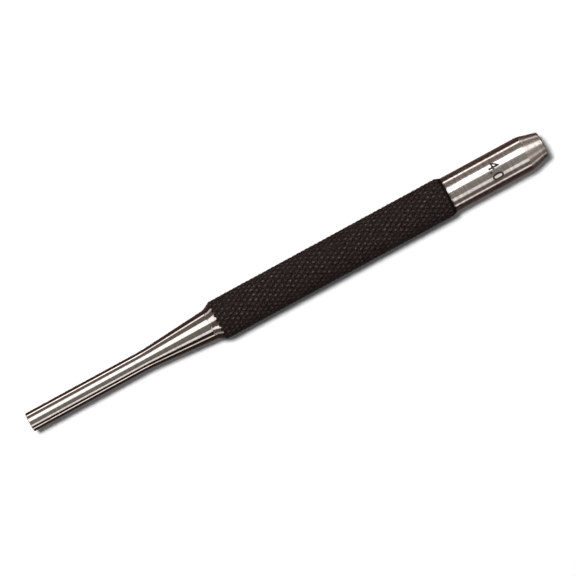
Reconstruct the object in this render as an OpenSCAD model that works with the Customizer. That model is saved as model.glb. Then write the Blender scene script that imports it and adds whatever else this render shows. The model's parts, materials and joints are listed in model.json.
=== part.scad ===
// Pin punch: a hard pin and a tough striking head, pressed together inside a knurled grip sleeve.
// The punch lies along +X. The middle of the tip's flat face is the origin, and +Z is up.

/* [Pin] */
// Diameter of the straight pin
pin_d = 3.97; // [2:0.01:5.5]
// Length from the tip to where the flare begins
pin_l = 25.9; // [10:0.1:40]
// Size of the small chamfer round the tip
tip_break = 0.1; // [0.05:0.05:0.5]

/* [Flare] */
// Length of the flare
flare_l = 14.4; // [6:0.1:30]
// Radius that blends the pin into the flare
flare_blend_r = 40; // [5:1:60]

/* [Core and tang] */
// Diameter of the flare's thick end and of the core that the sleeve sits on
core_d = 6.35; // [5.8:0.05:6.5]
// Length of the pin's plain root inside the sleeve
root_l = 5; // [2:0.5:8]
// Diameter of the pin's tang
tang_d = 4; // [2.5:0.1:4.5]
// Length of the pin's tang
tang_l = 10; // [4:0.5:15]
// Size of the small chamfer at the tang's end
tang_break = 0.3; // [0.1:0.1:0.5]
// Air space left beyond the tang's end in its socket
socket_relief = 0.5; // [0.2:0.1:2]
// Radial clearance of the two press fits: the tang in its socket and the core in the sleeve
press_clearance = 0.01; // [0:0.005:0.05]

/* [Grip sleeve] */
// Diameter over the points of the knurl
grip_d = 8.2; // [7.8:0.05:10]
// Length of the sleeve
grip_l = 53.1; // [30:0.1:80]
// Width of the flat rim at the sleeve's front end
front_rim = 0.06; // [0.02:0.01:0.1]
// Angle of the front chamfer to the punch's axis
front_chamfer_angle = 28; // [15:1:60]
// Angle of the rear chamfer to the punch's axis
rear_chamfer_angle = 22; // [15:1:60]
// Depth of the rear chamfer below the knurl's grooves
rear_chamfer_drop = 0.25; // [0.05:0.05:0.3]

/* [Knurl] */
// Grooves of each hand round the sleeve
knurl_starts = 23; // [12:1:30]
// Angle of the grooves to the punch's axis
knurl_angle = 30.5; // [20:0.5:45]
// Depth of the grooves
knurl_depth = 0.2; // [0.1:0.05:0.4]

/* [Head] */
// Diameter of the head
head_d = 7.3; // [7:0.05:8]
// Length of the straight part of the head
head_l = 16.9; // [8:0.1:30]
// Size of the small chamfer at the head's shoulder
shoulder_break = 0.1; // [0.05:0.05:0.2]
// Length of the tapered striking end
taper_l = 4; // [2:0.1:7]
// Angle of the striking end's taper to the punch's axis
taper_angle = 15; // [5:1:20]
// Radius round the edge of the striking face
face_round_r = 0.3; // [0.1:0.1:0.8]

/* [Hidden] */
$fn = 96;
arc_steps = 8;
cut_margin = 1;

pin_r = pin_d / 2;
core_r = core_d / 2;
tang_r = tang_d / 2;
grip_r = grip_d / 2;
head_r = head_d / 2;
root_r = grip_r - knurl_depth;

// Stations along the punch, counted from the tip
flare_end = pin_l + flare_l;
core_front = flare_end + root_l;
tang_end = core_front + tang_l;
socket_end = tang_end + socket_relief;
shoulder = flare_end + grip_l;
head_end = shoulder + head_l;
overall_l = head_end + taper_l;

// The core's socket, the sleeve's bore and the radii at the sleeve's two ends
socket_r = tang_r + press_clearance;
bore_r = core_r + press_clearance;
front_r = bore_r + front_rim;
rear_r = root_r - rear_chamfer_drop;

// Stations along the sleeve, counted from its front end: where the chamfers reach the grooves and the points
front_root_at = (root_r - front_r) / tan(front_chamfer_angle);
front_point_at = (grip_r - front_r) / tan(front_chamfer_angle);
rear_root_at = grip_l - (root_r - rear_r) / tan(rear_chamfer_angle);
rear_point_at = grip_l - (grip_r - rear_r) / tan(rear_chamfer_angle);

// The knurl's points stand in rows half an axial pitch apart, a whole number of rows between the two chamfers
knurl_l = rear_point_at - front_point_at;
nominal_row_step = PI * grip_d / knurl_starts / tan(knurl_angle) / 2;
knurl_rows = round(knurl_l / nominal_row_step);
row_step = knurl_l / knurl_rows;
ring_count = 2 * knurl_starts;

// Each ring of the sleeve: its station, then the radius at its even and at its odd corners
rings = concat(
    [[0, front_r, front_r], [front_root_at, root_r, root_r]],
    [for (row = [0:knurl_rows])
        let (station = front_point_at + row * row_step)
        row % 2 == 0 ? [station, grip_r, root_r] : [station, root_r, grip_r]],
    [[rear_root_at, root_r, root_r], [grip_l, rear_r, rear_r]]
);

function ring_radius(ring, corner) = rings[ring][corner % 2 == 0 ? 1 : 2];

function is_point(ring, corner) = ring_radius(ring, corner) > root_r;

function ring_corner(ring, corner) =
    let (
        turn = 360 * corner / ring_count,
        radius = ring_radius(ring, corner)
    )
    [radius * cos(turn), radius * sin(turn), rings[ring][0]];

// The two triangles of one cell between neighbouring rings, split along the groove that crosses the cell
function cell_faces(ring, corner) =
    let (
        next_corner = (corner + 1) % ring_count,
        front = ring * ring_count + corner,
        front_next = ring * ring_count + next_corner,
        rear = front + ring_count,
        rear_next = front_next + ring_count
    )
    is_point(ring, corner) || is_point(ring + 1, next_corner)
        ? [[front, rear, front_next], [front_next, rear, rear_next]]
        : [[front, rear, rear_next], [front, rear_next, front_next]];

// Points of an arc round a centre, from one angle to another
function arc(centre, radius, from, to) =
    [for (step = [0:arc_steps])
        let (turn = from + (to - from) * step / arc_steps)
        centre + radius * [cos(turn), sin(turn)]];

// The blend between the pin and the flare, tangent to both and no longer than either
function flare_blend() =
    let (
        flare_angle = atan((core_r - pin_r) / flare_l),
        reach = min(flare_blend_r * tan(flare_angle / 2), flare_l, pin_l - tip_break),
        blend_r = reach / tan(flare_angle / 2)
    )
    arc([pin_r + blend_r, pin_l - reach], blend_r, 180, 180 - flare_angle);

// The rounded edge between the striking end's taper and its flat face
function face_round() =
    let (
        taper_end_r = head_r - taper_l * tan(taper_angle),
        set_in = face_round_r / tan((90 + taper_angle) / 2)
    )
    arc([taper_end_r - set_in, overall_l - face_round_r], face_round_r, taper_angle, 90);

// Half outline of the pin: distance from the axis, then station from the tip
pin_outline = concat(
    [[0, 0], [pin_r - tip_break, 0], [pin_r, tip_break]],
    flare_blend(),
    [
        [core_r, flare_end],
        [core_r, core_front],
        [tang_r, core_front],
        [tang_r, tang_end - tang_break],
        [tang_r - tang_break, tang_end],
        [0, tang_end]
    ]
);

// Half outline of the head and its core, from the bottom of the socket round to the striking face
head_outline = concat(
    [
        [0, socket_end],
        [socket_r, socket_end],
        [socket_r, core_front],
        [core_r, core_front],
        [core_r, shoulder],
        [head_r - shoulder_break, shoulder],
        [head_r, shoulder + shoulder_break],
        [head_r, head_end]
    ],
    face_round(),
    [[0, overall_l]]
);

module along_x() {
    rotate([0, 90, 0])
        children();
}

// Hardened pin with its flare; its root fills the sleeve's front end and its tang is pressed into the core
module drive_pin() {
    color("silver")
        along_x()
            rotate_extrude()
                polygon(pin_outline);
}

// Striking head in one piece with the core that carries the sleeve and seats the pin's shoulder
module striking_head() {
    color("gainsboro")
        along_x()
            rotate_extrude()
                polygon(head_outline);
}

// The sleeve's outside: diamond points between two chamfered ends
module knurled_blank() {
    last = len(rings) - 1;
    polyhedron(
        points = [for (ring = [0:last], corner = [0:ring_count - 1]) ring_corner(ring, corner)],
        faces = concat(
            [[for (corner = [0:ring_count - 1]) corner]],
            [for (ring = [0:last - 1], corner = [0:ring_count - 1])
                each cell_faces(ring, corner)],
            [[for (corner = [ring_count - 1:-1:0]) last * ring_count + corner]]
        )
    );
}

// Knurled grip, pressed over the core and seated against the head's shoulder
module grip_sleeve() {
    color([0.13, 0.11, 0.10])
        along_x()
            translate([0, 0, flare_end])
                difference() {
                    knurled_blank();
                    translate([0, 0, -cut_margin])
                        cylinder(h = grip_l + 2 * cut_margin, r = bore_r);
                }
}

drive_pin();
grip_sleeve();
striking_head();
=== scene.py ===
"""The looks of a pin punch: a polished pin, a black knurled grip and a turned bright head."""

import json
import math

import bmesh
import bpy
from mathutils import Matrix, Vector


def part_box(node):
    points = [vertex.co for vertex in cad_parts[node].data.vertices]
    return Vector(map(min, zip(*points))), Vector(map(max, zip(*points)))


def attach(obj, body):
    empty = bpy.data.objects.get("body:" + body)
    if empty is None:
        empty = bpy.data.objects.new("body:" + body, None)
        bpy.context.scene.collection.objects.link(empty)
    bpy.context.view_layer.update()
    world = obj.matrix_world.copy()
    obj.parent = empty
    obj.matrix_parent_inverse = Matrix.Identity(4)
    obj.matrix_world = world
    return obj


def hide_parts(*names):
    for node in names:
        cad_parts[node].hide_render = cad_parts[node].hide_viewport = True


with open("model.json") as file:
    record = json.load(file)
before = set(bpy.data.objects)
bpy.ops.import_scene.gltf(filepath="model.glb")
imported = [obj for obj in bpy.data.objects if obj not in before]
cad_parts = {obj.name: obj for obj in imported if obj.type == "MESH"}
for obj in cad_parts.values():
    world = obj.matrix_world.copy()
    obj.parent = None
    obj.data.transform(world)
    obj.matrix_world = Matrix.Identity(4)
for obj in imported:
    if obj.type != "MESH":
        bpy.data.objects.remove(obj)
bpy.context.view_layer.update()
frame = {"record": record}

MM = 0.001

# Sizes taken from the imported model: stations run along +X from the tip
mounts = {mount["name"]: mount for mount in frame["record"]["mounts"]}
pin_low, pin_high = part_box("drive_pin")
sleeve_low, sleeve_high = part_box("grip_sleeve")
head_low, head_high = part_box("striking_head")
PIN_R = mounts["pin_shank"]["dims"]["r_mm"] * MM
HEAD_R = mounts["head_shank"]["dims"]["r_mm"] * MM
HEAD_STRAIGHT = mounts["head_shank"]["dims"]["length_mm"] * MM
CORE_R = -pin_low.z
GRIP_R = sleeve_high.y
TIP = pin_low.x
TANG_END = pin_high.x
GRIP_FRONT = sleeve_low.x
GRIP_REAR = sleeve_high.x
CORE_FRONT = head_low.x
FACE = head_high.x
TAPER_START = mounts["head_shank"]["pos_m"][0] + HEAD_STRAIGHT / 2
FLOOR_Z = sleeve_low.z

# Pin and its tang
TIP_BREAK = 0.1 * MM
FLARE_LENGTH = 14.4 * MM
FLARE_BLEND_R = 40 * MM
TANG_R = 2 * MM
TANG_BREAK = 0.3 * MM

# Head and its core: the press fits are drawn with a small radial clearance
PRESS_CLEARANCE = 0.01 * MM
SOCKET_RELIEF = 0.5 * MM
SOCKET_END = TANG_END + SOCKET_RELIEF
SOCKET_R = TANG_R + PRESS_CLEARANCE
SHOULDER_BREAK = 0.1 * MM
TAPER_SLOPE = math.tan(math.radians(15))
FACE_ROUND_R = 0.3 * MM

# Knurled grip sleeve
BORE_R = CORE_R + PRESS_CLEARANCE
FRONT_RIM = 0.01 * MM
FRONT_R = BORE_R + FRONT_RIM
FRONT_CHAMFER_LENGTH = 1.65 * MM
FRONT_FOOT = 0.12 * MM
FRONT_HOLLOW_R = 1.6 * MM
REAR_CHAMFER = math.radians(22)
REAR_R = HEAD_R
REAR_RIM = 0.12 * MM
CHAMFER_PITCH = 0.04 * MM
KNURL_STARTS = 23
KNURL_ROWS = 53
KNURL_DEPTH = 0.2 * MM
KNURL_CUTS = 5
POINT_FLAT = 0.2
LEFT_DEPTH = 0.9

# Engraved pin size
MARK_TEXT = "4.0"
MARK_HEIGHT = 2.3 * MM
MARK_AT = 102.4 * MM
MARK_DEPTH = 0.05 * MM
MARK_CLEAR = 0.3 * MM
MARK_STROKE = 0.012
MARK_WELD = 1e-5
MARK_TURN = math.radians(4)

# Fineness of the turned shapes
TURN_SEGMENTS = 192
ARC_STEPS = 6
EDGE_R = 0.04 * MM
HOLD = 0.04 * MM
SHARP_TURN = math.radians(25)
STRAIGHT = math.pi - 1e-4
ROUND_TOLERANCE = 0.004 * MM
WELD_DISTANCE = 0.001 * MM

# Camera: straight down on the punch, which runs up to the right across the frame
FRAME_WIDTH = 112.9 * MM
VIEW_CENTRE = (57.03 * MM, -1.003 * MM)
VIEW_ROLL = math.radians(-28.53)
LENS_MM = 200
SENSOR_MM = 36

# Stage: a white floor, and a small lamp high over it, placed from the middle of the punch
WHITE = (1.0, 1.0, 1.0, 1.0)
FLOOR_SIZE = 6.0
FLOOR_ROUGHNESS = 0.7
LAMP_SHIFT = (-0.1, 0.178, 0.78)
LAMP_SIZE = 0.15
LAMP_RADIANCE = 90.0

# Strips: each has a name, two angles from straight up towards -Y, two ends along X and a radiance
STRIP_DISTANCE = 0.4
STRIPS = (
    ("key_strip", (-43.5, -9), (-0.4, 1.05), 1.9),
    ("key_wing", (-57, -13), (-1.8, -0.4), 1.6),
    ("fill_strip", (35.5, 54.5), (-0.4, 0.06), 1.25),
    ("fill_strip_over_head", (35.5, 54.5), (0.06, 1.05), 0.82),
    ("fill_wing", (42, 64), (-1.8, -0.4), 1.7),
)

# Room: its colour at each elevation in degrees
ROOM_LEVELS = (
    (-90, (0.12, 0.095, 0.09)),
    (-60, (0.09, 0.064, 0.06)),
    (-25, (0.046, 0.027, 0.025)),
    (-2, (0.05, 0.028, 0.026)),
    (2, (0.16, 0.132, 0.12)),
    (37, (0.18, 0.15, 0.138)),
    (46, (0.26, 0.249, 0.228)),
    (90, (0.27, 0.259, 0.238)),
)

# Glow low down in the room: its colour, how far from its height it has gone and is whole, how much it
# droops towards the ends of the punch, and its share of full strength from the one end to the other
GLOW = (2.55, 2.46, 2.37, 1.0)
GLOW_EDGE = (math.sin(math.radians(7.5)), math.sin(math.radians(4)))
GLOW_HEIGHT = math.sin(math.radians(1.5))
GLOW_DROOP = 0.23
GLOW_SHARE = (
    (-1.0, 0.33),
    (-0.6, 0.33),
    (-0.35, 0.67),
    (-0.14, 0.67),
    (-0.1, 1.0),
    (-0.04, 1.0),
    (0.0, 0.56),
    (0.45, 0.56),
    (0.75, 0.0),
)

# Shade under the fill strips, which the pin and the flare mirror as a dark line: its colour, where it begins
# and is whole towards -Y, and its share from the one end of the punch to the other
SHADE = (0.04, 0.026, 0.02, 1.0)
SHADE_EDGE = (0.6, 0.8)
SHADE_SHARE = (
    (-0.45, 0.0),
    (-0.3, 1.0),
    (-0.05, 1.0),
    (-0.02, 0.0),
)

# The room is brighter towards one side, and its light falls weaker and cooler on matt surfaces
BRIGHT_SIDE = (0.2, 0.25, 0.0)
ROOM_ON_MATT = (0.62, 0.68, 0.74, 1.0)

# Bright steel: how far marks darken and lighten it, what dulls it, and how far the turning marks stand out
DARK_MARKS = 0.55
LIGHT_MARKS = 1.18
SMUDGE_DULLING = 0.05
SCRATCH_DULLING = 0.3
TURNING_RELIEF = 0.12

# Black oxide, which painted shade darkens in the grooves and a painted highlight lightens on the points, and
# the stain in the engraved size
OXIDE_DARK = (0.002, 0.001, 0.0009, 1.0)
OXIDE_PALE = (0.055, 0.0362, 0.032, 1.0)
OXIDE_WORN = (0.17, 0.145, 0.135, 1.0)
OXIDE_GRAIN = 0.004 * MM
STAIN_DARK = (0.010, 0.008, 0.008, 1.0)
STAIN_PALE = (0.045, 0.038, 0.034, 1.0)


# Node helpers

def add_node(tree, kind, **settings):
    node = tree.nodes.new(kind)
    for name, value in settings.items():
        setattr(node, name, value)
    return node


def plug(tree, socket, value):
    """Links a socket to another, or sets it to a plain value."""
    if isinstance(value, bpy.types.NodeSocket):
        tree.links.new(value, socket)
    else:
        socket.default_value = value


def calc(tree, operation, *terms):
    node = add_node(tree, "ShaderNodeMath", operation=operation)
    for socket, term in zip(node.inputs, terms):
        plug(tree, socket, term)
    return node.outputs[0]


def spread(tree, value, low, high, to_low=0.0, to_high=1.0):
    """Maps a value from one range to another, clamped at both ends."""
    node = add_node(tree, "ShaderNodeMapRange", clamp=True)
    for name, term in (("Value", value), ("From Min", low), ("From Max", high),
                       ("To Min", to_low), ("To Max", to_high)):
        plug(tree, node.inputs[name], term)
    return node.outputs["Result"]


def mix_colour(tree, factor, first, second):
    node = add_node(tree, "ShaderNodeMix", data_type="RGBA")
    plug(tree, node.inputs["Factor"], factor)
    plug(tree, node.inputs[6], first)
    plug(tree, node.inputs[7], second)
    return node.outputs[2]


def colour_ramp(tree, value, stops):
    """Colour for a value between -1 and 1, from stops (value, colour) in rising order."""
    node = add_node(tree, "ShaderNodeValToRGB")
    steps = node.color_ramp.elements
    while len(steps) < len(stops):
        steps.new(0.5)
    for step, (place, colour) in zip(steps, stops):
        step.position = (place + 1) / 2
        step.color = (*colour, 1.0)
    plug(tree, node.inputs["Fac"], calc(tree, "MULTIPLY_ADD", value, 0.5, 0.5))
    return node.outputs["Color"]


def noise(tree, scale, detail=3.0, roughness=0.5, stretch=(1.0, 1.0, 1.0), shift=(0.0, 0.0, 0.0)):
    """Noise on Object coordinates: scale is in cells per metre, and stretch multiplies it for each axis."""
    where = add_node(tree, "ShaderNodeTexCoord").outputs["Object"]
    mapping = add_node(tree, "ShaderNodeMapping")
    plug(tree, mapping.inputs["Vector"], where)
    mapping.inputs["Scale"].default_value = stretch
    mapping.inputs["Location"].default_value = shift
    texture = add_node(tree, "ShaderNodeTexNoise")
    plug(tree, texture.inputs["Vector"], mapping.outputs["Vector"])
    plug(tree, texture.inputs["Scale"], scale)
    texture.inputs["Detail"].default_value = detail
    texture.inputs["Roughness"].default_value = roughness
    return texture.outputs["Fac"]


def new_group(name, inputs, outputs):
    tree = bpy.data.node_groups.new(name, "ShaderNodeTree")
    for label, default in inputs:
        socket = tree.interface.new_socket(label, in_out="INPUT", socket_type="NodeSocketFloat")
        socket.default_value = default
    for label in outputs:
        tree.interface.new_socket(label, in_out="OUTPUT", socket_type="NodeSocketFloat")
    return tree, add_node(tree, "NodeGroupInput").outputs, add_node(tree, "NodeGroupOutput").inputs


def place_group(tree, group, **values):
    node = add_node(tree, "ShaderNodeGroup", node_tree=group)
    for name, value in values.items():
        plug(tree, node.inputs[name], value)
    return node.outputs


# Shared effects

def turning_marks_group():
    """Fine marks that a lathe or a polishing belt leaves round the work."""
    tree, given, out = new_group(
        "Turning marks",
        (("Fineness", 9000.0), ("Contrast", 1.0), ("Haze", 0.2)),
        ("Height", "Tone", "Dullness"))
    fine = noise(tree, given["Fineness"], detail=2.0, roughness=0.7, stretch=(1.0, 0.03, 0.03))
    broad = noise(tree, 1500.0, detail=2.0, stretch=(1.0, 0.05, 0.05), shift=(3.0, 1.0, 2.0))
    both = calc(tree, "MULTIPLY_ADD", broad, 0.6, calc(tree, "MULTIPLY", fine, 0.4))
    centred = calc(tree, "SUBTRACT", both, 0.5)
    plug(tree, out["Tone"], calc(tree, "MULTIPLY", centred, given["Contrast"]))
    plug(tree, out["Height"], fine)
    hairs = noise(tree, 40000.0, detail=1.0, stretch=(1.0, 0.1, 0.1), shift=(1.0, 4.0, 2.0))
    plug(tree, out["Dullness"], calc(tree, "MULTIPLY", spread(tree, hairs, 0.45, 0.6), given["Haze"]))
    return tree


def handling_marks_group():
    """Smudges from handling, and a few hair-fine scratches."""
    tree, given, out = new_group("Handling marks", (("Scratches", 0.5),), ("Smudge", "Scratch"))
    plug(tree, out["Smudge"], spread(tree, noise(tree, 260.0, detail=4.0, roughness=0.6), 0.35, 0.7))
    thread = noise(tree, 5200.0, detail=1.0, stretch=(0.06, 1.0, 1.0), shift=(0.4, 7.0, 1.3))
    patch = spread(tree, noise(tree, 420.0, detail=2.0, shift=(5.0, 5.0, 1.0)), 0.52, 0.62)
    line = calc(tree, "MULTIPLY", spread(tree, thread, 0.64, 0.7), patch)
    plug(tree, out["Scratch"], calc(tree, "MULTIPLY", line, given["Scratches"]))
    return tree


turning_marks = turning_marks_group()
handling_marks = handling_marks_group()


# Finishes

def new_material(name):
    material = bpy.data.materials.new(name)
    material.use_nodes = True
    tree = material.node_tree
    shader = next(node for node in tree.nodes if node.type == "BSDF_PRINCIPLED")
    return material, tree, shader


def bright_steel(name, colour, roughness, haze, fineness, contrast, wave, scratches):
    """Bright metal: tone and haze follow the turning marks, and smudges dull it a little."""
    material, tree, shader = new_material(name)
    turned = place_group(tree, turning_marks, Fineness=fineness, Contrast=contrast, Haze=haze)
    handled = place_group(tree, handling_marks, Scratches=scratches)
    darker = tuple(channel * DARK_MARKS for channel in colour) + (1.0,)
    lighter = tuple(min(1.0, channel * LIGHT_MARKS) for channel in colour) + (1.0,)
    tone = calc(tree, "SUBTRACT", calc(tree, "ADD", turned["Tone"], 0.5), handled["Scratch"])
    plug(tree, shader.inputs["Base Color"], mix_colour(tree, tone, darker, lighter))
    shader.inputs["Metallic"].default_value = 1.0
    dulled = calc(tree, "MULTIPLY_ADD", handled["Smudge"], SMUDGE_DULLING, roughness)
    dulled = calc(tree, "ADD", turned["Dullness"], dulled)
    dulled = calc(tree, "MULTIPLY_ADD", handled["Scratch"], SCRATCH_DULLING, dulled)
    plug(tree, shader.inputs["Roughness"], dulled)
    swell = noise(tree, 700.0, detail=2.0, stretch=(0.5, 1.0, 1.0))
    bump = add_node(tree, "ShaderNodeBump")
    bump.inputs["Strength"].default_value = 1.0
    bump.inputs["Distance"].default_value = wave
    plug(tree, bump.inputs["Height"], calc(tree, "MULTIPLY_ADD", turned["Height"], TURNING_RELIEF, swell))
    plug(tree, shader.inputs["Normal"], bump.outputs["Normal"])
    return material


def black_oxide():
    """Dull black over the knurl: painted shade makes it darkest in the grooves and a painted highlight makes
    it paler on the points; it is mottled, and rubbed paler on some points.
    """
    material, tree, shader = new_material("black_oxide")
    where = add_node(tree, "ShaderNodeSeparateXYZ")
    plug(tree, where.inputs[0], add_node(tree, "ShaderNodeTexCoord").outputs["Object"])
    across = calc(tree, "MULTIPLY", where.outputs["Y"], where.outputs["Y"])
    upright = calc(tree, "MULTIPLY", where.outputs["Z"], where.outputs["Z"])
    radius = calc(tree, "SQRT", calc(tree, "ADD", across, upright))
    raised = spread(tree, radius, GRIP_R - KNURL_DEPTH, GRIP_R)
    on_points = spread(tree, raised, 0.75, 0.95)
    rubbed = spread(tree, noise(tree, 3000.0, detail=1.0), 0.48, 0.76)
    worn = calc(tree, "MULTIPLY", on_points, rubbed)
    # Painted shade darkens the groove floors and a painted highlight lightens the crests of the points; the
    # mottle is the oxide's own uneven tone
    painted_groove_shade = spread(tree, raised, 0.0, 0.35, 0.05, 0.5)
    painted_point_highlight = spread(tree, raised, 0.7, 1.0, 0.0, 0.5)
    mottle = spread(tree, noise(tree, 4600.0, detail=1.0), 0.42, 0.58, 0.0, 1.3)
    tone = calc(tree, "MULTIPLY", calc(tree, "ADD", painted_groove_shade, painted_point_highlight), mottle)
    black = mix_colour(tree, tone, OXIDE_DARK, OXIDE_PALE)
    plug(tree, shader.inputs["Base Color"], mix_colour(tree, worn, black, OXIDE_WORN))
    plug(tree, shader.inputs["Metallic"], calc(tree, "MULTIPLY", worn, 0.5))
    grain = noise(tree, 9000.0, detail=3.0, roughness=0.6)
    dull = spread(tree, grain, 0.3, 0.7, 0.55, 0.72)
    plug(tree, shader.inputs["Roughness"], calc(tree, "MULTIPLY_ADD", worn, -0.3, dull))
    shader.inputs["Specular IOR Level"].default_value = 0.1
    bump = add_node(tree, "ShaderNodeBump")
    bump.inputs["Strength"].default_value = 1.0
    bump.inputs["Distance"].default_value = OXIDE_GRAIN
    plug(tree, bump.inputs["Height"], grain)
    plug(tree, shader.inputs["Normal"], bump.outputs["Normal"])
    return material


def mark_filling():
    """Dark stain left in the engraved size."""
    material, tree, shader = new_material("mark_filling")
    blotch = spread(tree, noise(tree, 6000.0, detail=3.0), 0.35, 0.7)
    stain = mix_colour(tree, blotch, STAIN_DARK, STAIN_PALE)
    plug(tree, shader.inputs["Base Color"], stain)
    plug(tree, shader.inputs["Roughness"], spread(tree, blotch, 0.0, 1.0, 0.55, 0.75))
    return material


polished_pin = bright_steel(
    "polished_pin", (0.62, 0.57, 0.54), roughness=0.03, haze=0.05, fineness=9000.0, contrast=1.2,
    wave=0.0012 * MM, scratches=0.5)
turned_head = bright_steel(
    "turned_head", (0.80, 0.735, 0.70), roughness=0.05, haze=0.15, fineness=9000.0, contrast=1.5,
    wave=0.0025 * MM, scratches=0.8)
turned_taper = bright_steel(
    "turned_taper", (0.62, 0.56, 0.52), roughness=0.14, haze=0.3, fineness=9000.0, contrast=1.8,
    wave=0.003 * MM, scratches=0.5)
turned_chamfer = bright_steel(
    "turned_chamfer", (0.62, 0.57, 0.54), roughness=0.03, haze=0.1, fineness=9000.0, contrast=1.2,
    wave=0.002 * MM, scratches=0.3)
black_knurl = black_oxide()
stained_mark = mark_filling()


# Turned pieces

def rounded(corners):
    """Outline points from corners (station, radius, rounding): an arc is tangent to its two sides."""
    points = [corners[0][:2]]
    for before, corner, after in zip(corners, corners[1:], corners[2:]):
        here = Vector(corner[:2])
        back = Vector(before[:2]) - here
        ahead = Vector(after[:2]) - here
        opening = back.angle(ahead)
        if corner[2] == 0 or opening > STRAIGHT:
            points.append(tuple(here))
            continue
        reach = corner[2] / math.tan(opening / 2)
        start = here + back.normalized() * reach
        end = here + ahead.normalized() * reach
        inward = (back.normalized() + ahead.normalized()).normalized()
        middle = here + inward * corner[2] / math.sin(opening / 2)
        spoke = start - middle
        swing = math.atan2(spoke.cross(end - middle), spoke.dot(end - middle))
        for step in range(ARC_STEPS + 1):
            turn = swing * step / ARC_STEPS
            cosine, sine = math.cos(turn), math.sin(turn)
            points.append((middle.x + spoke.x * cosine - spoke.y * sine,
                           middle.y + spoke.x * sine + spoke.y * cosine))
    points.append(corners[-1][:2])
    return points


def held(points):
    """Adds a point near both ends of each long stretch, so that shading stays flat up to its corners."""
    result = [points[0]]
    for first, last in zip(points, points[1:]):
        stretch = Vector(last) - Vector(first)
        if stretch.length > 4 * HOLD:
            inset = stretch.normalized() * HOLD
            result.append(tuple(Vector(first) + inset))
            result.append(tuple(Vector(last) - inset))
        result.append(last)
    return result


def turned_mesh(name, outline):
    """Revolves an outline about the X axis: its first and last points lie on the axis."""
    work = bmesh.new()
    rings = []
    for station, radius in outline[1:-1]:
        ring = []
        for segment in range(TURN_SEGMENTS):
            turn = 2 * math.pi * segment / TURN_SEGMENTS
            ring.append(work.verts.new((station, radius * math.sin(turn), radius * math.cos(turn))))
        rings.append(ring)
    first_pole = work.verts.new((outline[0][0], 0, 0))
    last_pole = work.verts.new((outline[-1][0], 0, 0))
    for segment in range(TURN_SEGMENTS):
        after = (segment + 1) % TURN_SEGMENTS
        work.faces.new((first_pole, rings[0][segment], rings[0][after]))
        work.faces.new((last_pole, rings[-1][after], rings[-1][segment]))
        for ring, next_ring in zip(rings, rings[1:]):
            work.faces.new((ring[segment], next_ring[segment], next_ring[after], ring[after]))
    bmesh.ops.recalc_face_normals(work, faces=work.faces)
    for face in work.faces:
        face.smooth = True
    for edge in work.edges:
        edge.smooth = edge.calc_face_angle(0) < SHARP_TURN
    mesh = bpy.data.meshes.new(name)
    work.to_mesh(mesh)
    work.free()
    return mesh


def new_piece(name, mesh, *materials):
    for material in materials:
        mesh.materials.append(material)
    piece = bpy.data.objects.new(name, mesh)
    bpy.context.scene.collection.objects.link(piece)
    return piece


def plain_mesh(piece):
    """The evaluated mesh of a piece, with its modifiers worked in."""
    graph = bpy.context.evaluated_depsgraph_get()
    return bpy.data.meshes.new_from_object(piece.evaluated_get(graph), depsgraph=graph)


def drive_pin():
    outline = rounded([
        (TIP, 0, 0),
        (TIP, PIN_R - TIP_BREAK, EDGE_R),
        (TIP + TIP_BREAK, PIN_R, EDGE_R),
        (GRIP_FRONT - FLARE_LENGTH, PIN_R, FLARE_BLEND_R),
        (GRIP_FRONT, CORE_R, 0),
        (CORE_FRONT, CORE_R, 0),
        (CORE_FRONT, TANG_R, 0),
        (TANG_END - TANG_BREAK, TANG_R, 0),
        (TANG_END, TANG_R - TANG_BREAK, 0),
        (TANG_END, 0, 0),
    ])
    return new_piece("polished_drive_pin", turned_mesh("polished_drive_pin", held(outline)), polished_pin)


def size_mark():
    """The pin's size in plain figures, bent round the head: read across it, with its top to the face."""
    curve = bpy.data.curves.new("size_mark", "FONT")
    curve.body = MARK_TEXT
    curve.align_x = "CENTER"
    curve.extrude = 0.5
    curve.bevel_depth = MARK_STROKE
    curve.bevel_resolution = 0
    flat = bpy.data.objects.new("size_mark", curve)
    bpy.context.scene.collection.objects.link(flat)
    mesh = plain_mesh(flat)
    bpy.data.objects.remove(flat)
    work = bmesh.new()
    work.from_mesh(mesh)
    bmesh.ops.remove_doubles(work, verts=work.verts, dist=MARK_WELD)
    scale = MARK_HEIGHT / max(vert.co.y for vert in work.verts)
    for vert in work.verts:
        turn = MARK_TURN + vert.co.x * scale / HEAD_R
        radius = HEAD_R + MARK_CLEAR
        if vert.co.z < 0:
            radius = HEAD_R - MARK_DEPTH + (vert.co.z + curve.extrude) * scale
        vert.co = (MARK_AT + vert.co.y * scale, -radius * math.sin(turn), radius * math.cos(turn))
    work.to_mesh(mesh)
    work.free()
    return new_piece("size_mark_cutter", mesh, stained_mark)


def turned_normals(mesh, is_turned, slope_at):
    """Gives the turned faces the normals of the true round surface, also where a cut borders on them."""
    normals = [Vector(corner.vector) for corner in mesh.corner_normals]
    for face in mesh.polygons:
        corners = [mesh.vertices[index].co for index in face.vertices]
        if is_turned(face, corners):
            for loop, spot in zip(face.loop_indices, corners):
                outward = Vector((0, spot.y, spot.z)).normalized()
                normals[loop] = (outward - slope_at(spot.x) * Vector((1, 0, 0))).normalized()
    mesh.normals_split_custom_set(normals)


def on_head(face, corners):
    return all(abs(math.hypot(spot.y, spot.z) - HEAD_R) < ROUND_TOLERANCE for spot in corners)


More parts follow.
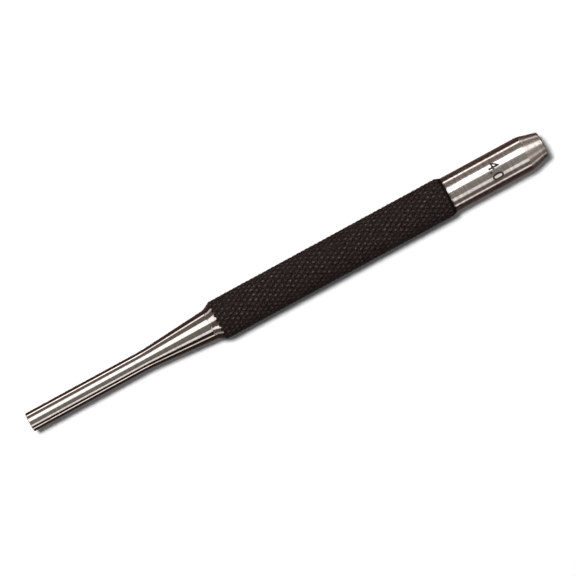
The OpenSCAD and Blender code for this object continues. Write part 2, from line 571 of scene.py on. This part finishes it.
def striking_head():
    taper_end_r = HEAD_R - (FACE - TAPER_START) * TAPER_SLOPE
    outline = rounded([
        (SOCKET_END, 0, 0),
        (SOCKET_END, SOCKET_R, 0),
        (CORE_FRONT, SOCKET_R, 0),
        (CORE_FRONT, CORE_R, 0),
        (GRIP_REAR, CORE_R, 0),
        (GRIP_REAR, HEAD_R - SHOULDER_BREAK, 0),
        (GRIP_REAR + SHOULDER_BREAK, HEAD_R, EDGE_R),
        (TAPER_START, HEAD_R, EDGE_R),
        (FACE, taper_end_r, FACE_ROUND_R),
        (FACE, 0, 0),
    ])
    mesh = turned_mesh("turned_striking_head", held(outline))
    for face in mesh.polygons:
        face.material_index = int(face.center.x > TAPER_START)
    piece = new_piece("turned_striking_head", mesh, turned_head, turned_taper)
    cutter = size_mark()
    cut = piece.modifiers.new("Engraved size", "BOOLEAN")
    cut.operation = "DIFFERENCE"
    cut.solver = "MANIFOLD"
    cut.material_mode = "TRANSFER"
    cut.object = cutter
    split = piece.modifiers.new("Split faces", "TRIANGULATE")
    split.ngon_method = "BEAUTY"
    split.min_vertices = 5
    piece.data = plain_mesh(piece)
    piece.modifiers.clear()
    bpy.data.objects.remove(cutter)
    turned_normals(piece.data, on_head, lambda station: 0.0)
    return piece


# Knurled grip

def divided(points, pitch):
    """Adds points along an outline, so that no stretch is longer than the pitch."""
    result = [points[0]]
    for first, last in zip(points, points[1:]):
        stretch = Vector(last) - Vector(first)
        count = math.ceil(stretch.length / pitch)
        for step in range(1, count + 1):
            result.append(tuple(Vector(first) + stretch * step / count))
    return result


def sleeve_outline():
    """Closed half outline of the sleeve before knurling: the front chamfer leaves the flare in a hollow."""
    flare_slope = (CORE_R - PIN_R) / FLARE_LENGTH
    front_points = GRIP_FRONT + FRONT_CHAMFER_LENGTH
    rear_points = GRIP_REAR - (GRIP_R - REAR_R) / math.tan(REAR_CHAMFER)
    row_step = (rear_points - front_points) / KNURL_ROWS
    chamfer = divided(rounded([
        (GRIP_FRONT, FRONT_R, 0),
        (GRIP_FRONT + FRONT_FOOT, FRONT_R + FRONT_FOOT * flare_slope, FRONT_HOLLOW_R),
        (front_points, GRIP_R, 0),
    ]), CHAMFER_PITCH)
    rows = [(front_points + step * row_step / KNURL_CUTS, GRIP_R)
            for step in range(1, KNURL_ROWS * KNURL_CUTS)]
    rear = divided([(rear_points, GRIP_R), (GRIP_REAR, REAR_R)], CHAMFER_PITCH)
    bore = [(GRIP_REAR, BORE_R), (GRIP_FRONT, BORE_R)]
    return bore[1:] + chamfer + rows + rear + bore, chamfer, row_step


def slope_near(points, station):
    """Slope of an outline at a station, evened out over the stretches next to it."""
    near = [Vector(point) for point in points if abs(point[0] - station) < 2 * CHAMFER_PITCH]
    run = near[-1] - near[0]
    return run.y / run.x


def stored_value(tree, name):
    """A value that an earlier step of a geometry tree stored on the mesh."""
    node = add_node(tree, "GeometryNodeInputNamedAttribute", data_type="FLOAT")
    node.inputs["Name"].default_value = name
    return node.outputs["Attribute"]


def knurl_tree():
    """Wraps an outline round the X axis and presses a diamond knurl into it."""
    tree = bpy.data.node_groups.new("Knurled sleeve", "GeometryNodeTree")
    tree.is_modifier = True
    sockets = (
        ("Outline", "Geometry"), ("Columns", "Int"), ("Starts", "Int"), ("First Row", "Float"),
        ("Row Step", "Float"), ("Root Radius", "Float"), ("Point Radius", "Float"), ("Point Flat", "Float"),
        ("Left Depth", "Float"), ("Rear Rim", "Float"),
        ("Black Finish", "Material"), ("Bright Finish", "Material"),
    )
    for name, kind in sockets:
        tree.interface.new_socket(name, in_out="INPUT", socket_type="NodeSocket" + kind)
    tree.interface.new_socket("Sleeve", in_out="OUTPUT", socket_type="NodeSocketGeometry")
    given = add_node(tree, "NodeGroupInput").outputs

    # A grid with one line for each outline point, and its first and last columns on one seam
    size = add_node(tree, "GeometryNodeAttributeDomainSize", component="MESH")
    plug(tree, size.inputs["Geometry"], given["Outline"])
    seam_columns = calc(tree, "ADD", given["Columns"], 1.0)
    grid = add_node(tree, "GeometryNodeMeshGrid")
    plug(tree, grid.inputs["Vertices X"], size.outputs["Point Count"])
    plug(tree, grid.inputs["Vertices Y"], seam_columns)
    index = add_node(tree, "GeometryNodeInputIndex").outputs[0]
    line = calc(tree, "FLOOR", calc(tree, "DIVIDE", calc(tree, "ADD", index, 0.5), seam_columns))
    column = calc(tree, "SUBTRACT", index, calc(tree, "MULTIPLY", line, seam_columns))
    sample = add_node(tree, "GeometryNodeSampleIndex", data_type="FLOAT_VECTOR", domain="POINT")
    plug(tree, sample.inputs["Geometry"], given["Outline"])
    plug(tree, sample.inputs["Value"], add_node(tree, "GeometryNodeInputPosition").outputs[0])
    plug(tree, sample.inputs["Index"], line)
    spot = add_node(tree, "ShaderNodeSeparateXYZ")
    plug(tree, spot.inputs[0], sample.outputs["Value"])
    station, limit = spot.outputs["X"], spot.outputs["Z"]

    # Half pitches are counted round and along: their sum gives one hand of grooves and their difference
    # the other, and points stand where both come out even
    share = calc(tree, "DIVIDE", column, given["Columns"])
    round_count = calc(tree, "MULTIPLY", share, calc(tree, "MULTIPLY", given["Starts"], 2.0))
    past_first_row = calc(tree, "SUBTRACT", station, given["First Row"])
    along_count = calc(tree, "DIVIDE", past_first_row, given["Row Step"])
    right_hand = calc(tree, "PINGPONG", calc(tree, "ADD", round_count, along_count), 1.0)
    left_hand = calc(tree, "PINGPONG", calc(tree, "SUBTRACT", round_count, along_count), 1.0)
    shallower = calc(tree, "MULTIPLY", left_hand, given["Left Depth"])
    slope = calc(tree, "SUBTRACT", 1.0, calc(tree, "MAXIMUM", right_hand, shallower))
    blunt = calc(tree, "DIVIDE", slope, calc(tree, "SUBTRACT", 1.0, given["Point Flat"]))
    height = calc(tree, "MINIMUM", blunt, 1.0)
    depth = calc(tree, "SUBTRACT", given["Point Radius"], given["Root Radius"])
    knurl_radius = calc(tree, "MULTIPLY_ADD", height, depth, given["Root Radius"])
    radius = calc(tree, "MINIMUM", limit, knurl_radius)
    turn = calc(tree, "MULTIPLY", share, 2 * math.pi)
    place = add_node(tree, "ShaderNodeCombineXYZ")
    plug(tree, place.inputs["X"], station)
    plug(tree, place.inputs["Y"], calc(tree, "MULTIPLY", radius, calc(tree, "SINE", turn)))
    rise = calc(tree, "MULTIPLY", calc(tree, "COSINE", turn), -1.0)
    plug(tree, place.inputs["Z"], calc(tree, "MULTIPLY", radius, rise))

    # What the faces need to know later: which groove they lean to, and whether turning has bared them
    in_front = calc(tree, "LESS_THAN", station, given["First Row"])
    cut_away = calc(tree, "LESS_THAN", limit, knurl_radius)
    on_rim = calc(tree, "GREATER_THAN", station, given["Rear Rim"])
    bared = calc(tree, "MAXIMUM", calc(tree, "MULTIPLY", in_front, cut_away), on_rim)
    marked = grid.outputs["Mesh"]
    for name, field in (("lean", calc(tree, "SUBTRACT", right_hand, shallower)), ("bared", bared)):
        store = add_node(tree, "GeometryNodeStoreNamedAttribute", data_type="FLOAT", domain="POINT")
        plug(tree, store.inputs["Geometry"], marked)
        store.inputs["Name"].default_value = name
        plug(tree, store.inputs["Value"], field)
        marked = store.outputs["Geometry"]
    shaped = add_node(tree, "GeometryNodeSetPosition")
    plug(tree, shaped.inputs["Geometry"], marked)
    plug(tree, shaped.inputs["Position"], place.outputs["Vector"])
    closed = add_node(tree, "GeometryNodeMergeByDistance")
    plug(tree, closed.inputs["Geometry"], shaped.outputs["Geometry"])
    closed.inputs["Distance"].default_value = WELD_DISTANCE

    # Each cell is split along the groove that it leans to, so that grooves and flats come out straight
    leans_right = calc(tree, "GREATER_THAN", stored_value(tree, "lean"), 0.0)
    split = closed.outputs["Geometry"]
    for leaning, method in ((leans_right, "FIXED_ALTERNATE"), (True, "FIXED")):
        cells = add_node(tree, "GeometryNodeTriangulate", quad_method=method)
        plug(tree, cells.inputs["Mesh"], split)
        plug(tree, cells.inputs["Selection"], leaning)
        split = cells.outputs["Mesh"]
    outward = add_node(tree, "GeometryNodeFlipFaces")
    plug(tree, outward.inputs["Mesh"], split)

    # Bared faces are smooth and bright, and the others keep the facets and the black of the knurl
    bright = calc(tree, "GREATER_THAN", stored_value(tree, "bared"), 0.5)
    smooth = add_node(tree, "GeometryNodeSetShadeSmooth", domain="FACE")
    plug(tree, smooth.inputs["Geometry"], outward.outputs["Mesh"])
    plug(tree, smooth.inputs["Shade Smooth"], bright)
    whole = add_node(tree, "GeometryNodeRealizeInstances")
    plug(tree, whole.inputs["Geometry"], smooth.outputs["Geometry"])
    finished = whole.outputs["Geometry"]
    for finish, faces in (("Black Finish", True), ("Bright Finish", bright)):
        coat = add_node(tree, "GeometryNodeSetMaterial")
        plug(tree, coat.inputs["Geometry"], finished)
        plug(tree, coat.inputs["Selection"], faces)
        plug(tree, coat.inputs["Material"], given[finish])
        finished = coat.outputs["Geometry"]
    plug(tree, add_node(tree, "NodeGroupOutput").inputs["Sleeve"], finished)
    return tree


def grip_sleeve():
    points, chamfer, row_step = sleeve_outline()
    front_points = chamfer[-1][0]
    line = bpy.data.meshes.new("knurled_grip_sleeve")
    edges = [(index, index + 1) for index in range(len(points) - 1)]
    line.from_pydata([(station, 0, radius) for station, radius in points], edges, [])
    piece = new_piece("knurled_grip_sleeve", line)
    knurl = piece.modifiers.new("Knurl", "NODES")
    knurl.node_group = knurl_tree()
    values = {
        "Columns": 2 * KNURL_STARTS * KNURL_CUTS,
        "Starts": KNURL_STARTS,
        "First Row": front_points,
        "Row Step": row_step,
        "Root Radius": GRIP_R - KNURL_DEPTH,
        "Point Radius": GRIP_R,
        "Point Flat": POINT_FLAT,
        "Left Depth": LEFT_DEPTH,
        "Rear Rim": GRIP_REAR - REAR_RIM,
        "Black Finish": black_knurl,
        "Bright Finish": turned_chamfer,
    }
    for socket in knurl.node_group.interface.items_tree:
        if socket.name in values:
            knurl[socket.identifier] = values[socket.name]
    piece.data = plain_mesh(piece)
    piece.modifiers.clear()
    bright = piece.data.materials.find(turned_chamfer.name)
    turned_normals(piece.data,
                   lambda face, corners: face.material_index == bright and face.center.x < front_points,
                   lambda station: slope_near(chamfer, station))
    return piece


# Stage: floor, lamps and camera

def stage_plane(name, centre, size_x, size_y, colour, roughness):
    mesh = bpy.data.meshes.new(name)
    corners = [(centre[0] + across * size_x / 2, centre[1] + along * size_y / 2, centre[2])
               for across, along in ((-1, -1), (1, -1), (1, 1), (-1, 1))]
    mesh.from_pydata(corners, [], [(0, 1, 2, 3)])
    material, tree, shader = new_material(name)
    shader.inputs["Base Color"].default_value = colour
    shader.inputs["Roughness"].default_value = roughness
    shader.inputs["Specular IOR Level"].default_value = 0.0
    plane = new_piece(name, mesh, material)
    return plane


def lamp(name, place, aim, size_x, size_y, radiance):
    """A soft box of the given radiance, with its long side along X where size_x is the greater."""
    light = bpy.data.lights.new(name, "AREA")
    light.shape = "RECTANGLE"
    light.size = size_x
    light.size_y = size_y
    light.energy = radiance * math.pi * size_x * size_y
    rig = bpy.data.objects.new(name, light)
    bpy.context.scene.collection.objects.link(rig)
    rig.location = place
    towards = (Vector(aim) - Vector(place)).normalized()
    rig.rotation_euler = towards.to_track_quat("-Z", "Y").to_euler()
    rig.visible_camera = False
    return rig


def strip(name, first, last, from_x, to_x, radiance):
    """A long soft box that only the polish mirrors, between two angles from straight up towards -Y."""
    middle = math.radians((first + last) / 2)
    width = 2 * STRIP_DISTANCE * math.tan(math.radians(last - first) / 2)
    centre_x = (from_x + to_x) / 2
    place = (centre_x, -STRIP_DISTANCE * math.sin(middle), STRIP_DISTANCE * math.cos(middle))
    rig = lamp(name, place, (centre_x, 0, 0), to_x - from_x, width, radiance)
    rig.visible_diffuse = False
    return rig


def room():
    """A dim room with a glow low down on both sides of the punch, for the polish to mirror."""
    world = bpy.data.worlds.new("room")
    bpy.context.scene.world = world
    world.use_nodes = True
    tree = world.node_tree
    direction = add_node(tree, "ShaderNodeTexCoord").outputs["Generated"]

    def along(axis):
        node = add_node(tree, "ShaderNodeVectorMath", operation="DOT_PRODUCT")
        plug(tree, node.inputs[0], direction)
        plug(tree, node.inputs[1], axis)
        return node.outputs["Value"]

    height = along((0.0, 0.0, 1.0))
    stops = [(math.sin(math.radians(level)), colour) for level, colour in ROOM_LEVELS]
    levels = colour_ramp(tree, height, stops)
    endways = along((1.0, 0.0, 0.0))

    def share_of(shares):
        return colour_ramp(tree, endways, [(part, (share, share, share)) for part, share in shares])

    sideways = spread(tree, along((0.0, -1.0, 0.0)), *SHADE_EDGE)
    levels = mix_colour(tree, calc(tree, "MULTIPLY", sideways, share_of(SHADE_SHARE)), levels, SHADE)
    drooping = calc(tree, "MULTIPLY_ADD", calc(tree, "ABSOLUTE", endways), GLOW_DROOP, height)
    from_glow = calc(tree, "ABSOLUTE", calc(tree, "SUBTRACT", drooping, GLOW_HEIGHT))
    low = spread(tree, from_glow, *GLOW_EDGE)
    colour = mix_colour(tree, calc(tree, "MULTIPLY", low, share_of(GLOW_SHARE)), levels, GLOW)
    matt = add_node(tree, "ShaderNodeLightPath").outputs["Is Diffuse Ray"]
    filtered = add_node(tree, "ShaderNodeVectorMath", operation="MULTIPLY")
    plug(tree, filtered.inputs[0], colour)
    plug(tree, filtered.inputs[1], mix_colour(tree, matt, WHITE, ROOM_ON_MATT))
    background = next(node for node in tree.nodes if node.type == "BACKGROUND")
    plug(tree, background.inputs["Color"], filtered.outputs["Vector"])
    plug(tree, background.inputs["Strength"], calc(tree, "ADD", along(BRIGHT_SIDE), 1.0))


def set_stage():
    middle = ((TIP + FACE) / 2, 0, FLOOR_Z)
    floor = stage_plane("floor", middle, FLOOR_SIZE, FLOOR_SIZE, WHITE, FLOOR_ROUGHNESS)
    floor.visible_glossy = False
    floor.visible_diffuse = False
    place = (middle[0] + LAMP_SHIFT[0], *LAMP_SHIFT[1:])
    overhead = lamp("overhead_box", place, (middle[0], 0, 0), LAMP_SIZE, LAMP_SIZE, LAMP_RADIANCE)
    overhead.visible_glossy = False
    for name, angles, stations, radiance in STRIPS:
        strip(name, *angles, *stations, radiance)
    room()


def set_camera():
    lens = bpy.data.cameras.new("camera")
    lens.lens = LENS_MM
    lens.sensor_width = SENSOR_MM
    camera = bpy.data.objects.new("camera", lens)
    bpy.context.scene.collection.objects.link(camera)
    camera.location = (*VIEW_CENTRE, FRAME_WIDTH * LENS_MM / SENSOR_MM)
    camera.rotation_euler = (0, 0, VIEW_ROLL)
    bpy.context.scene.camera = camera
    bpy.context.scene.view_settings.view_transform = "Standard"


# The punch

for piece, node, slot in ((drive_pin(), "drive_pin", "hard_steel"),
                          (grip_sleeve(), "grip_sleeve", "black_steel"),
                          (striking_head(), "striking_head", "turned_steel")):
    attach(piece, "root")
    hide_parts(node)

set_stage()
set_camera()

bpy.context.view_layer.update()
